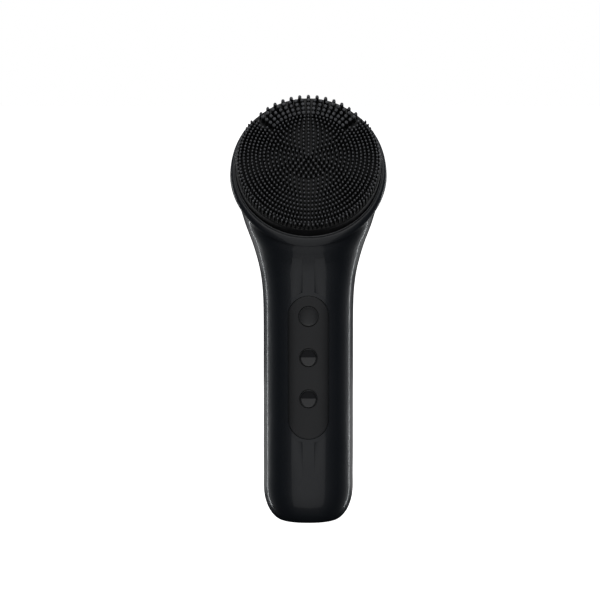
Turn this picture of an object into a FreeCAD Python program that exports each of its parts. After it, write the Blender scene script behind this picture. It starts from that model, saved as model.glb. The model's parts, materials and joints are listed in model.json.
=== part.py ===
import FreeCAD, Part
import math
import os

# Facial cleansing brush with a straight grip, a round tilted head, a removable silicone
# brush disc and three push buttons on the grip's front.
#
# Row frame, in millimetres: the origin is the middle of the flat base, +Z runs up the grip and
# the front, with the buttons, looks along -Y. The head has a frame of its own: x is the row's x,
# u runs up the brush face and n is the face's outward normal, and n is 0 at the housing's mouth.

V = FreeCAD.Vector

# --- driving dimensions -------------------------------------------------------------------
WALL = 2.0                     # casing wall
FACE_TILT = 27.0               # the brush face leans back from the vertical, in degrees
HEAD_Y, HEAD_Z = -4.0, 141.4   # middle of the mouth
MOUTH_RIM_R = 30.8             # casing's outer radius at the mouth
MOUTH_EDGE_R = 1.0             # rounding of the casing's edge at the mouth

GRIP_HALF_W, GRIP_HALF_D = 18.0, 15.0
GRIP_EXPONENT = 2.35           # superellipse exponent of the grip's section
BASE_CORNER_IN_X, BASE_CORNER_IN_Y = 8.2, 5.2
BASE_CORNER_H = 14.0

PARTING_Y = 1.0                # casings meet on this plane in the grip
PARTING_N = -9.0               # and on this plane in the head
PARTING_GAP = 0.12
SEAL_DEPTH, SEAL_T, SEAL_HALF_H = 0.75, 0.6, 0.45    # rubber cord in the parting joint

PANEL_R = 8.15                 # control panel: a capsule
PANEL_TOP_Z, PANEL_BOTTOM_Z = 83.7, 42.75    # centres of its round ends
PANEL_T = 1.4
PANEL_GAP = 0.12
PANEL_LAND = 1.5               # plain strip between the panel and the grooves
WINDOW_R = 6.5                 # opening behind the panel

BUTTONS = {                    # name: height on the grip, radius
    "power": (83.7, 3.9),
    "speed_up": (67.3, 3.5),
    "speed_down": (50.9, 3.5),
}
BUTTON_GAP = 0.15
BUTTON_PROUD = 0.35
BUTTON_DISH = 0.55             # depth of the finger dish
BUTTON_EDGE_R, BUTTON_LIP = 0.3, 0.45
FLANGE_Y0, FLANGE_Y1, FLANGE_WIDE = -13.2, -12.6, 1.1    # stops the key falling out

GROOVE_IN, GROOVE_OUT, GROOVE_DEEP = 2.4, 6.6, 0.6
GROOVE_TOP_Z, GROOVE_BOTTOM_Z = 107.0, 19.5

PAD_R = 28.7                   # silicone brush disc
PAD_T = 2.2
PAD_FOOT_N = -1.5
PAD_EDGE_N, PAD_APEX_N = 4.8, 9.7
PAD_EDGE_ROUND = 0.8
BRISTLE_H = 4.5
COARSE_EXTRA_H = 0.6           # the coarse bristles' extra height
COARSE_HALF_ANGLE = 51.0
COARSE_IN_R = 18.2
BRISTLE_OUT_R = 28.6

TRIM_IN_R, TRIM_OUT_R = 28.85, 29.5
TRIM_FOOT_N, TRIM_TOP_N = -2.0, 0.3

DECK_R, DECK_TOP_N, DECK_T = 28.5, -2.5, 2.0
LEDGE_IN_R, LEDGE_T = 26.3, 2.0
BOSS_R, BOSS_DEPTH, DECK_SCREW_LENGTH = 2.2, 4.2, 4.4
DECK_SCREW_REACH = 24.6
DECK_SEAL_IN_R, DECK_SEAL_OUT_R, DECK_SEAL_T = 27.4, 28.2, 0.6
SOCKET_R, SOCKET_WALL, SOCKET_FLOOR_N = 6.1, 1.9, -5.0
SPIGOT_CLEARANCE = 0.2
CARRIER_GAP, CARRIER_T = 0.05, 1.75    # under the silicone: clearance and thickness

MOTOR_N, MOTOR_R = -12.2, 6.0
MOTOR_TAIL_U, MOTOR_NOSE_U = 6.0, -14.0
SHAFT_R, BUSH_CLEARANCE = 1.0, 0.05
WEIGHT_R, WEIGHT_U0, WEIGHT_U1 = 5.2, -23.5, -16.5

BOARD_Y, BOARD_T = -9.2, 1.2   # front face and thickness of the circuit board
BOARD_HALF_W, BOARD_Z0, BOARD_Z1 = 10.0, 24.0, 96.0
PLATE_Y0, PLATE_Y1 = -4.5, -3.0
PLATE_HALF_W, PLATE_Z0, PLATE_Z1 = 11.0, 14.0, 105.0
BATTERY_R, BATTERY_Y, BATTERY_Z0, BATTERY_Z1 = 7.0, 4.5, 30.0, 80.0
SWITCH_HALF, SWITCH_H = 3.0, 2.3
PLUNGER_R, PLUNGER_OUT = 1.5, 0.8
SCREW_R, SCREW_HEAD_R, SCREW_HEAD_H = 0.9, 1.8, 1.2
SCREW_PLAY = 0.15              # clearance holes
POST_R = 2.5                   # screw posts inside the front casing
PILOT_R = 0.95

CHARGE_Z = 24.0                # charging contacts, low on the back
CONTACT_HALF_LONG, CONTACT_R = 4.2, 3.4
PIN_R, PIN_X, MAGNET_R, MAGNET_X, MAGNET_T = 1.0, 2.4, 1.55, 5.4, 1.9
HOLDER_T = 3.4


# --- frames and small helpers -------------------------------------------------------------
TILT = math.radians(FACE_TILT)
HEAD = FreeCAD.Placement(V(0, HEAD_Y, HEAD_Z), FreeCAD.Rotation(V(1, 0, 0), 90 - FACE_TILT))
FORWARD = V(0, -1, 0)
BACK = V(0, 1, 0)


def head_point(x, u, n):
    """The row frame's point for a point of the head's frame."""
    return HEAD.multVec(V(x, u, n))


def in_head(shape):
    """Moves a shape from the head's frame to the row frame."""
    moved = shape.copy()
    moved.Placement = HEAD.multiply(moved.Placement)
    return moved


def box(x0, x1, y0, y1, z0, z1):
    return Part.makeBox(x1 - x0, y1 - y0, z1 - z0, V(x0, y0, z0))


def rod(radius, start, end):
    """A cylinder between two points."""
    run = end.sub(start)
    return Part.makeCylinder(radius, run.Length, start, run)


def disc(radius, n0, n1, x=0.0, u=0.0):
    """A cylinder along n, in the head's frame."""
    return Part.makeCylinder(radius, n1 - n0, V(x, u, n0))


def ring(inner, outer, n0, n1):
    return disc(outer, n0, n1).cut(disc(inner, n0 - 1, n1 + 1))


def capsule(radius, z_top, z_bottom, y0, y1):
    """A capsule-shaped prism along y, standing on the grip's middle line."""
    top = Part.Arc(V(radius, y0, z_top), V(0, y0, z_top + radius), V(-radius, y0, z_top))
    bottom = Part.Arc(V(-radius, y0, z_bottom), V(0, y0, z_bottom - radius), V(radius, y0, z_bottom))
    sides = [Part.LineSegment(V(-radius, y0, z_top), V(-radius, y0, z_bottom)),
             Part.LineSegment(V(radius, y0, z_bottom), V(radius, y0, z_top))]
    wire = Part.Wire([top.toShape(), sides[0].toShape(), bottom.toShape(), sides[1].toShape()])
    return Part.Face(wire).extrude(V(0, y1 - y0, 0))


def revolve(points, bulges=None):
    """Turns a closed (r, n) profile about n. bulges gives an arc's middle point after an index."""
    bulges = bulges or {}
    edges = []
    for i, (r, n) in enumerate(points):
        after = points[(i + 1) % len(points)]
        start, end = V(r, 0, n), V(after[0], 0, after[1])
        if i in bulges:
            middle = V(bulges[i][0], 0, bulges[i][1])
            edges.append(Part.Arc(start, middle, end).toShape())
        else:
            edges.append(Part.LineSegment(start, end).toShape())
    return Part.Face(Part.Wire(edges)).revolve(V(0, 0, 0), V(0, 0, 1), 360)


def rounded_path(points):
    """Straight runs joined by tangent arcs, each as large as its two runs allow."""
    edges, at = [], points[0]
    for before, corner, after in zip(points, points[1:], points[2:]):
        run_in, run_out = corner.sub(before), after.sub(corner)
        turn = run_in.getAngle(run_out)
        trim = 0.45 * min(run_in.Length, run_out.Length)
        start = corner.sub(V(run_in).normalize().multiply(trim))
        end = corner.add(V(run_out).normalize().multiply(trim))
        inward = V(run_out).normalize().sub(V(run_in).normalize()).normalize()
        radius = trim / math.tan(turn / 2)
        middle = corner.add(inward.multiply(radius * (1 / math.cos(turn / 2) - 1)))
        edges.append(Part.LineSegment(at, start).toShape())
        edges.append(Part.Arc(start, middle, end).toShape())
        at = end
    edges.append(Part.LineSegment(at, points[-1]).toShape())
    return Part.Wire(edges)


def wire_tube(points, radius):
    path = rounded_path(points)
    first = points[1].sub(points[0])
    outline = Part.Wire(Part.makeCircle(radius, points[0], first))
    return path.makePipeShell([outline], True, True)


# --- the body's outer form ----------------------------------------------------------------
# Cutting planes are level in the grip. In the neck and head they turn about a line in front of
# the neck, up to the plane of the mouth. Each plane holds one oval: front and back are measured
# along the plane from that line, or from the grip's axis where the plane is level.
PIVOT_Y = -25.0
PIVOT_Z = HEAD_Z + (PIVOT_Y - HEAD_Y) / math.tan(TILT)

GRIP_WIDTHS = {18.0: 17.97, 24.0: 18.0, 34.0: 18.02, 50.0: 17.98, 66.0: 17.95, 78.0: 17.94,
               86.0: 18.0, 93.0: 18.3}
CORNER_STEPS = 6

HEAD_OVALS = [                 # plane's angle, front, back, half width, exponent
    (0.0, 10.0, 40.0, 19.2, 2.3),
    (10.5, 10.08, 41.2, 20.2, 2.24),
    (21.0, 10.33, 44.1, 21.55, 2.16),
    (31.5, 10.77, 49.9, 23.45, 2.08),
    (42.0, 11.62, 58.6, 26.0, 2.0),
    (50.0, 12.65, 68.2, 28.25, 1.9),
    (57.0, 13.97, 75.5, 31.05, 1.84),
]
OVAL_POINTS = 24
EDGE_STEPS = 4
MOUTH_FLARE = (0.27, 0.69, 0.17)    # level, swing from top to bottom, twist at the sides


def signed_power(value, power):
    return math.copysign(abs(value) ** power, value)


def oval(y, z, angle, front, back, half_width, exponent):
    """Points of a superellipse in a plane through (y, z) that rises towards the back by angle."""
    middle, half = (front + back) / 2, (back - front) / 2
    across, up = math.cos(math.radians(angle)), math.sin(math.radians(angle))
    points = []
    for i in range(OVAL_POINTS):
        turn = 2 * math.pi * i / OVAL_POINTS
        x = -half_width * signed_power(math.sin(turn), 2 / exponent)
        s = middle + half * signed_power(math.cos(turn), 2 / exponent)
        points.append(V(x, y + s * across, z + s * up))
    return points


def skin(ovals):
    """A smooth closed solid through ovals that all have the same number of points."""
    count = len(ovals[0])
    around = []
    for points in ovals:
        curve = Part.BSplineCurve()
        curve.interpolate(Points=points, Parameters=[float(i) for i in range(count + 1)],
                          PeriodicFlag=True)
        around.append(curve)
    places = [0.0]
    for lower, upper in zip(ovals, ovals[1:]):
        gaps = [p.distanceToPoint(q) for p, q in zip(lower, upper)]
        places.append(places[-1] + sum(gaps) / count)
    nets = []
    for poles in zip(*[curve.getPoles() for curve in around]):
        along = Part.BSplineCurve()
        along.interpolate(Points=list(poles), Parameters=places)
        nets.append(along)
    surface = Part.BSplineSurface()
    surface.buildFromPolesMultsKnots([line.getPoles() for line in nets],
                                     around[0].getMultiplicities(), nets[0].getMultiplicities(),
                                     around[0].getKnots(), nets[0].getKnots(),
                                     True, False, around[0].Degree, nets[0].Degree)
    ends = [Part.Face(Part.Wire(surface.vIso(v).toShape())) for v in (places[0], places[-1])]
    shell = Part.makeShell([surface.toShape()] + ends)
    shell.sewShape()
    return Part.makeSolid(shell)


def flare(turn):
    """How fast the casing widens below the mouth, at a turn from the top of the mouth."""
    level, swing, twist = MOUTH_FLARE
    return level - swing * math.cos(turn) + twist * math.cos(2 * turn)


def mouth_ring(radius, n):
    """An oval's points parallel to the mouth: a circle there, wider below it."""
    points = []
    for i in range(OVAL_POINTS):
        turn = 2 * math.pi * i / OVAL_POINTS
        reach = radius - n * flare(turn)
        points.append(head_point(-reach * math.sin(turn), reach * math.cos(turn), n))
    return points


def body_form(inset=0.0, edge=0.0):
    """The body's solid form up to the mouth's plane, made smaller all round by inset.

    edge rounds the form's edge at the mouth.
    """
    ovals = []
    for step in range(CORNER_STEPS + 1):
        turn = math.pi / 2 * step / CORNER_STEPS
        z = inset + (BASE_CORNER_H - inset) * (1 - math.cos(turn))
        half_w = GRIP_HALF_W - inset - BASE_CORNER_IN_X * (1 - math.sin(turn))
        half_d = GRIP_HALF_D - inset - BASE_CORNER_IN_Y * (1 - math.sin(turn))
        ovals.append(oval(0, z, 0, -half_d, half_d, half_w, GRIP_EXPONENT))
    for z, half_w in GRIP_WIDTHS.items():
        half_d = GRIP_HALF_D - inset
        ovals.append(oval(0, z, 0, -half_d, half_d, half_w - inset, GRIP_EXPONENT))
    for angle, front, back, half_w, exponent in HEAD_OVALS:
        ovals.append(oval(PIVOT_Y, PIVOT_Z, angle, front + inset, back - inset, half_w - inset,
                          exponent))
    for step in range(EDGE_STEPS + 1 if edge else 1):
        turn = math.pi / 2 * step / EDGE_STEPS
        radius = MOUTH_RIM_R - inset - edge * (1 - math.cos(turn))
        ovals.append(mouth_ring(radius, edge * (math.sin(turn) - 1)))
    return skin(ovals)


def front_region(shift):
    """Everything in front of the parting surface, moved forward by shift."""
    far = 200.0
    knee_u = (PARTING_Y - HEAD_Y + PARTING_N * math.cos(TILT)) / math.sin(TILT)
    knee = head_point(0, knee_u, PARTING_N)
    top = head_point(0, far, PARTING_N)
    side = [V(-far, PARTING_Y - shift, -far), V(-far, PARTING_Y - shift, knee.z),
            V(-far, top.y - shift, top.z), V(-far, -far, top.z), V(-far, -far, -far)]
    return Part.Face(Part.makePolygon(side + side[:1])).extrude(V(2 * far, 0, 0))


def grip_front(z):
    """The y of the grip's front on its middle line, from the oval planes."""
    if z <= PIVOT_Z:
        return -GRIP_HALF_D
    for angle, front, *_ in HEAD_OVALS[1:]:
        turn = math.radians(angle)
        if PIVOT_Z + front * math.sin(turn) >= z:
            return PIVOT_Y + front * math.cos(turn)
    return PIVOT_Y + HEAD_OVALS[-1][1] * math.cos(math.radians(HEAD_OVALS[-1][0]))


def surface_drop(x):
    """How far the grip's front falls back from its middle line at x."""
    share = (abs(x) / GRIP_HALF_W) ** GRIP_EXPONENT
    return GRIP_HALF_D * (1 - (1 - share) ** (1 / GRIP_EXPONENT))


def groove(side, z_deep, z_end):
    """A shallow cut with a steep inner wall and a long outer slope that fades out at z_end."""
    outlines = []
    for z, depth in ((z_deep, GROOVE_DEEP), ((z_deep + z_end) / 2, 0.75 * GROOVE_DEEP), (z_end, 0.02)):
        y_in = grip_front(z) + surface_drop(GROOVE_IN)
        y_out = grip_front(z) + surface_drop(GROOVE_OUT)
        corners = [V(side * GROOVE_IN, y_in + depth, z), V(side * GROOVE_OUT, y_out, z),
                   V(side * GROOVE_OUT, y_out - 2, z), V(side * GROOVE_IN, y_in - 2, z)]
        outlines.append(Part.makePolygon(corners + corners[:1]))
    return Part.makeLoft(outlines, True, True)


# --- casings ------------------------------------------------------------------------------
def hollow_shell(body, cavity):
    """The whole casing wall before it is parted, with the mouth, ledge and panel seat."""
    ledge_top = DECK_TOP_N - DECK_T
    ledge = in_head(ring(LEDGE_IN_R, MOUTH_RIM_R + 2, ledge_top - LEDGE_T, ledge_top))
    bosses = [in_head(disc(BOSS_R, ledge_top - BOSS_DEPTH, ledge_top, x, u))
              for x, u in deck_screw_places()]
    seal_seat = in_head(ring(DECK_SEAL_IN_R - 0.05, DECK_SEAL_OUT_R + 0.05,
                             ledge_top - DECK_SEAL_T - 0.05, ledge_top + 0.1))
    pilots = [in_head(disc(PILOT_R, ledge_top - BOSS_DEPTH + 0.3, ledge_top + 1, x, u))
              for x, u in deck_screw_places()]
    inner = ledge.multiFuse(bosses).common(body_form(WALL / 2))
    shell = body.cut(cavity).fuse(inner)
    posts = [rod(POST_R, V(0, grip_front(z) + 1, z), V(0, PLATE_Y0, z)) for z in chassis_screw_heights()]
    post_pilots = [rod(PILOT_R, V(0, -11.5, z), V(0, PLATE_Y0 + 1, z))
                   for z in chassis_screw_heights()]
    shell = shell.multiFuse(posts)
    mouth_seat = in_head(disc(TRIM_OUT_R + 0.05, TRIM_FOOT_N, 5))
    throat = in_head(disc(DECK_R + 0.1, ledge_top, 5))
    tools = pilots + post_pilots + [mouth_seat, throat, seal_seat]
    return shell.cut(Part.makeCompound(tools))


def casings(body, cavity):
    shell = hollow_shell(body, cavity)
    far = -GRIP_HALF_D - 5
    seat = capsule(PANEL_R, PANEL_TOP_Z, PANEL_BOTTOM_Z, far, -8).cut(body_form(PANEL_T))
    window = capsule(WINDOW_R, PANEL_TOP_Z, PANEL_BOTTOM_Z, far, -8)
    land = PANEL_R + PANEL_LAND
    grooves = [groove(side, PANEL_TOP_Z, GROOVE_TOP_Z) for side in (-1, 1)]
    grooves += [groove(side, PANEL_BOTTOM_Z, GROOVE_BOTTOM_Z) for side in (-1, 1)]
    keep = capsule(land, PANEL_TOP_Z, PANEL_BOTTOM_Z, far, -8)
    cuts = [seat, window] + [g.cut(keep) for g in grooves]
    seal_slot = casing_seal_form(0.02)
    front = shell.common(front_region(0)).cut(Part.makeCompound(cuts)).cut(seal_slot)
    rear = shell.cut(front_region(-PARTING_GAP)).cut(seal_slot)
    rear = rear.cut(contact_prism(0.0, HOLDER_T + 0.6))
    return front, rear


def casing_seal_form(grow=0.0):
    """A thin cord of rubber in the parting joint, half in each casing, inside the wall."""
    outer, inner = body_form(SEAL_DEPTH - grow), body_form(SEAL_DEPTH + SEAL_T + grow)
    loop = outer.cut(inner)
    half = SEAL_HALF_H + grow
    slab = front_region(-half).cut(front_region(half))
    far = 100.0
    mouth_side = in_head(Part.makeBox(2 * far, 2 * far, far, V(-far, -far, PARTING_N + 0.5)))
    return loop.common(slab).cut(mouth_side)


def trim_ring():
    return in_head(ring(TRIM_IN_R, TRIM_OUT_R, TRIM_FOOT_N, TRIM_TOP_N))


# --- control panel and switches -----------------------------------------------------------
def control_panel(body):
    form = capsule(PANEL_R - PANEL_GAP, PANEL_TOP_Z, PANEL_BOTTOM_Z, -GRIP_HALF_D - 1, -8)
    plate = form.common(body).cut(body_form(PANEL_T - 0.02))
    holes = [rod(r + BUTTON_GAP, V(0, -20, z), V(0, -10, z)) for z, r in BUTTONS.values()]
    return plate.cut(Part.makeCompound(holes))


def button(z, radius):
    """A key with a dished top, a hidden flange and a short stem."""
    top = -GRIP_HALF_D - BUTTON_PROUD
    cap = rod(radius, V(0, top, z), V(0, FLANGE_Y0, z))
    rim = [e for e in cap.Edges if e.BoundBox.YMax < top + 1e-6]
    cap = cap.makeFillet(BUTTON_EDGE_R, rim)
    reach = radius - BUTTON_LIP
    dish_r = (reach ** 2 + BUTTON_DISH ** 2) / (2 * BUTTON_DISH)
    dish = Part.makeSphere(dish_r, V(0, top + BUTTON_DISH - dish_r, z))
    flange = rod(radius + FLANGE_WIDE, V(0, FLANGE_Y0, z), V(0, FLANGE_Y1, z))
    stem = rod(PLUNGER_R - 0.1, V(0, FLANGE_Y1, z), V(0, BOARD_Y - SWITCH_H - PLUNGER_OUT, z))
    return cap.cut(dish).multiFuse([flange, stem]).removeSplitter()


def plunger(z):
    foot = BOARD_Y - SWITCH_H + 0.7
    return rod(PLUNGER_R, V(0, foot, z), V(0, BOARD_Y - SWITCH_H - PLUNGER_OUT, z))


def switch_bodies():
    bodies = []
    for z, _ in BUTTONS.values():
        case = box(-SWITCH_HALF, SWITCH_HALF, BOARD_Y - SWITCH_H, BOARD_Y,
                   z - SWITCH_HALF, z + SWITCH_HALF)
        well = rod(PLUNGER_R + 0.1, V(0, BOARD_Y - 0.6, z), V(0, BOARD_Y - SWITCH_H - 1, z))
        bodies.append(case.cut(well))
    return Part.makeCompound(bodies)


# --- chassis, board and battery -----------------------------------------------------------
def board_screw_places():
    return [(x, z) for x in (-7.6, 7.6) for z in (BOARD_Z0 + 4, BOARD_Z1 - 4)]


def chassis_screw_heights():
    return (PLATE_Z0 + 4, PLATE_Z1 - 4)


def main_circuit_board():
    board = box(-BOARD_HALF_W, BOARD_HALF_W, BOARD_Y, BOARD_Y + BOARD_T, BOARD_Z0, BOARD_Z1)
    holes = [rod(SCREW_R + 0.2, V(x, -20, z), V(x, 0, z)) for x, z in board_screw_places()]
    return board.cut(Part.makeCompound(holes))


def screw(head_face, along, length, head_h=SCREW_HEAD_H):
    """A pan-head screw: its head starts at head_face and it points along."""
    seat = head_face.add(V(along).multiply(head_h))
    tip = seat.add(V(along).multiply(length))
    head = rod(SCREW_HEAD_R, head_face, seat)
    slot = rod(0.5, head_face, head_face.add(V(along).multiply(0.7)))
    return head.fuse(rod(SCREW_R, seat, tip)).cut(slot)


def board_screws():
    start = BOARD_Y - SCREW_HEAD_H
    return Part.makeCompound([screw(V(x, start, z), BACK, BOARD_T + 3.0)
                              for x, z in board_screw_places()])


def inner_chassis():
    plate = box(-PLATE_HALF_W, PLATE_HALF_W, PLATE_Y0, PLATE_Y1, BOARD_Z0 - 2, BOARD_Z1 + 1)
    tongue = box(-4.5, 4.5, PLATE_Y0, PLATE_Y1, PLATE_Z0, PLATE_Z1)
    posts = [rod(2.1, V(x, BOARD_Y + BOARD_T, z), V(x, PLATE_Y0, z)) for x, z in board_screw_places()]
    saddles = [box(-9.2, 9.2, PLATE_Y1, BATTERY_Y + 1.5, z - 1.5, z + 1.5) for z in (38.0, 72.0)]
    stops = [box(-6, 6, PLATE_Y1, BATTERY_Y, z0, z0 + 1.5)
             for z0 in (BATTERY_Z0 - 1.6, BATTERY_Z1 + 1.3)]
    battery_bed = rod(BATTERY_R + 0.05, V(0, BATTERY_Y, BATTERY_Z0), V(0, BATTERY_Y, BATTERY_Z1))
    frame = plate.multiFuse([tongue] + posts + saddles + stops)
    pilots = [rod(PILOT_R, V(x, -20, z), V(x, PLATE_Y1 - 0.4, z)) for x, z in board_screw_places()]
    clears = [rod(SCREW_R + SCREW_PLAY, V(0, -20, z), V(0, 0, z)) for z in chassis_screw_heights()]
    return frame.cut(Part.makeCompound(pilots + clears + [battery_bed]))


def chassis_screws():
    return Part.makeCompound([screw(V(0, PLATE_Y1 + SCREW_HEAD_H, z), FORWARD, 6.5)
                              for z in chassis_screw_heights()])


def battery_cell():
    can = rod(BATTERY_R, V(0, BATTERY_Y, BATTERY_Z0), V(0, BATTERY_Y, BATTERY_Z1))
    can = can.makeFillet(0.6, [e for e in can.Edges if len(e.Vertexes) == 1])
    nub = rod(2.6, V(0, BATTERY_Y, BATTERY_Z1 - 0.1), V(0, BATTERY_Y, BATTERY_Z1 + 1.0))
    return can.fuse(nub)


def controller_chip():
    return box(-2.6, 2.6, BOARD_Y - 1.0, BOARD_Y, 73.0, 78.2)


def battery_connector():
    shell = box(-3.2, 3.2, BOARD_Y + BOARD_T, BOARD_Y + BOARD_T + 3.0, 27.0, 31.5)
    return shell.cut(box(-2.4, 2.4, BOARD_Y + BOARD_T + 0.7, BOARD_Y + BOARD_T + 2.3, 26.0, 30.3))


# --- head: deck, motor, brush disc --------------------------------------------------------
def deck_screw_places():
    return [(DECK_SCREW_REACH * math.cos(a), DECK_SCREW_REACH * math.sin(a))
            for a in (math.radians(90), math.radians(210), math.radians(330))]


def head_deck():
    deck = disc(DECK_R, DECK_TOP_N - DECK_T, DECK_TOP_N)
    socket = disc(SOCKET_R + SOCKET_WALL, SOCKET_FLOOR_N - 0.8, DECK_TOP_N)
    cuts = [disc(SOCKET_R, SOCKET_FLOOR_N, 5)]
    for x, u in deck_screw_places():
        cuts.append(disc(SCREW_R + SCREW_PLAY, -10, 5, x, u))
        cuts.append(disc(SCREW_HEAD_R + 0.1, DECK_TOP_N - SCREW_HEAD_H, 5, x, u))
    return in_head(deck.fuse(socket).cut(Part.makeCompound(cuts)))


def deck_screws():
    down = head_point(0, 0, -1).sub(head_point(0, 0, 0))
    return Part.makeCompound([screw(head_point(x, u, DECK_TOP_N), down, DECK_SCREW_LENGTH)
                              for x, u in deck_screw_places()])


def deck_seal():
    top = DECK_TOP_N - DECK_T
    return in_head(ring(DECK_SEAL_IN_R, DECK_SEAL_OUT_R, top - DECK_SEAL_T, top))


def motor_bracket():
    top = DECK_TOP_N - DECK_T
    low = MOTOR_N - 2.8
    ribs = [box(-8.5, 8.5, u - 1.4, u + 1.4, low, top) for u in (-9.5, 1.5)]
    plate = box(-8.5, 8.5, -10.9, 2.9, top - 1.0, top)
    frame = plate.multiFuse(ribs)
    bed = rod(MOTOR_R + 0.05, V(0, -40, MOTOR_N), V(0, 40, MOTOR_N))
    return in_head(frame.cut(bed).cut(disc(SOCKET_R + SOCKET_WALL + 0.1, -30, 5)))


def motor_rod(radius, u0, u1):
    """A cylinder on the motor's axis."""
    return rod(radius, head_point(0, u0, MOTOR_N), head_point(0, u1, MOTOR_N))


def motor_can():
    can = motor_rod(MOTOR_R, MOTOR_NOSE_U, MOTOR_TAIL_U)
    bore = motor_rod(MOTOR_R - 0.7, MOTOR_NOSE_U - 1, MOTOR_TAIL_U - 0.9)
    return can.cut(bore)


def motor_end_cap():
    cap = motor_rod(MOTOR_R - 0.7, MOTOR_NOSE_U, MOTOR_NOSE_U + 1.5)
    return cap.cut(motor_rod(2.0, MOTOR_NOSE_U - 2, MOTOR_NOSE_U + 3))


def motor_bush():
    bush = motor_rod(2.0, MOTOR_NOSE_U - 0.8, MOTOR_NOSE_U + 2.0)
    return bush.cut(motor_rod(SHAFT_R + BUSH_CLEARANCE, MOTOR_NOSE_U - 2, MOTOR_NOSE_U + 3))


def motor_shaft():
    return motor_rod(SHAFT_R, WEIGHT_U0, MOTOR_TAIL_U - 1.2)


def motor_armature():
    core = motor_rod(MOTOR_R - 1.5, MOTOR_NOSE_U + 3.5, MOTOR_TAIL_U - 3.0)
    return core.cut(motor_rod(SHAFT_R, WEIGHT_U0, MOTOR_TAIL_U))


def eccentric_weight():
    """A half-round weight on a hub: its middle lies off the shaft."""
    whole = rod(WEIGHT_R, V(0, WEIGHT_U0, MOTOR_N), V(0, WEIGHT_U1, MOTOR_N))
    half = whole.cut(box(-10, 10, -40, 0, MOTOR_N + 0.6, MOTOR_N + 20))
    hub = rod(2.2, V(0, WEIGHT_U0, MOTOR_N), V(0, WEIGHT_U1, MOTOR_N))
    bore = rod(SHAFT_R, V(0, -40, MOTOR_N), V(0, 0, MOTOR_N))
    return in_head(half.fuse(hub).cut(bore))


def dome_height(r, edge_n, apex_n):
    """Height of a spherical dome that is apex_n high in the middle and edge_n at the disc's edge."""
    rise = apex_n - edge_n
    sphere_r = (PAD_R ** 2 + rise ** 2) / (2 * rise)
    return apex_n - sphere_r + math.sqrt(sphere_r ** 2 - r ** 2)


def dome_cap(radius, foot, edge_n, apex_n, edge_round=0.0):
    """A solid disc with a domed top, seen in the head's frame."""
    shoulder = radius - edge_round
    top = dome_height(shoulder, edge_n, apex_n)
    half = dome_height(shoulder / 2, edge_n, apex_n)
    points = [(0, foot), (radius, foot), (radius, top - edge_round), (shoulder, top), (0, apex_n)]
    bulges = {3: (shoulder / 2, half)}
    if edge_round:
        lean = edge_round * math.sqrt(0.5)
        bulges[2] = (shoulder + lean, top - edge_round + lean)
    else:
        del points[2]
        bulges = {2: (shoulder / 2, half)}
    return revolve(points, bulges)


def brush_pad():
    outer = dome_cap(PAD_R, PAD_FOOT_N, PAD_EDGE_N, PAD_APEX_N, PAD_EDGE_ROUND)
    inner = dome_cap(PAD_R - PAD_T, PAD_FOOT_N - 1, PAD_EDGE_N - PAD_T, PAD_APEX_N - PAD_T)
    return in_head(outer.cut(inner))


def brush_carrier():
    """The stiff core under the silicone, with the spigot that plugs into the deck."""
    outside, inside = PAD_T + CARRIER_GAP, PAD_T + CARRIER_GAP + CARRIER_T
    outer = dome_cap(PAD_R - outside, PAD_FOOT_N, PAD_EDGE_N - outside, PAD_APEX_N - outside)
    hollow = dome_cap(PAD_R - inside, PAD_FOOT_N - 1, PAD_EDGE_N - inside, PAD_APEX_N - inside)
    spigot = disc(SOCKET_R - SPIGOT_CLEARANCE, SOCKET_FLOOR_N + 0.3, PAD_APEX_N - inside)
    return in_head(outer.cut(hollow).fuse(spigot))


def bristle_field():
    """The plain outer form of all the bristles; the coarse ones at the top stand higher."""
    pad = dome_cap(PAD_R, PAD_FOOT_N, PAD_EDGE_N, PAD_APEX_N, PAD_EDGE_ROUND)
    edge, apex = PAD_EDGE_N + BRISTLE_H, PAD_APEX_N + BRISTLE_H
    fine = dome_cap(BRISTLE_OUT_R, PAD_EDGE_N - 2, edge, apex)
    tall = dome_cap(BRISTLE_OUT_R, PAD_EDGE_N - 2, edge + COARSE_EXTRA_H, apex + COARSE_EXTRA_H)
    half = math.radians(COARSE_HALF_ANGLE)
    reach = 60.0
    corners = [V(0, 0, 0), V(reach * math.sin(half), reach * math.cos(half), 0),
               V(0, 2 * reach, 0), V(-reach * math.sin(half), reach * math.cos(half), 0)]
    wedge = Part.Face(Part.makePolygon(corners + corners[:1])).extrude(V(0, 0, 60))
    crescent = tall.common(wedge).cut(disc(COARSE_IN_R, -5, 60))
    return in_head(fine.fuse(crescent).cut(pad))


def motor_leads():
    """Two insulated wires from the board's top edge to the motor's tail."""
    leads = []
    for side in (-1, 1):
        route = [V(side * 3.8, BOARD_Y + BOARD_T + 0.7, 87), V(side * 3.8, -7.1, 101),
                 head_point(side * 9.6, -24, -9.5), head_point(side * 10.2, -8, -10.5),
                 head_point(side * 9.6, 6, -11.5), head_point(side * 6.5, 11, MOTOR_N),
                 head_point(side * 2.6, 11.5, MOTOR_N), head_point(side * 2.6, MOTOR_TAIL_U, MOTOR_N)]
        leads.append(wire_tube(route, 0.55))
    return Part.makeCompound(leads)


# --- charging contacts --------------------------------------------------------------------
def contact_prism(shrink, depth):
    """A level capsule through the back wall."""
    radius = CONTACT_R - shrink
    y0, y1 = GRIP_HALF_D - depth, GRIP_HALF_D + 3
    bar = box(-CONTACT_HALF_LONG, CONTACT_HALF_LONG, y0, y1, CHARGE_Z - radius, CHARGE_Z + radius)
    ends = [rod(radius, V(x, y0, CHARGE_Z), V(x, y1, CHARGE_Z))
            for x in (-CONTACT_HALF_LONG, CONTACT_HALF_LONG)]
    return bar.multiFuse(ends)


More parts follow.
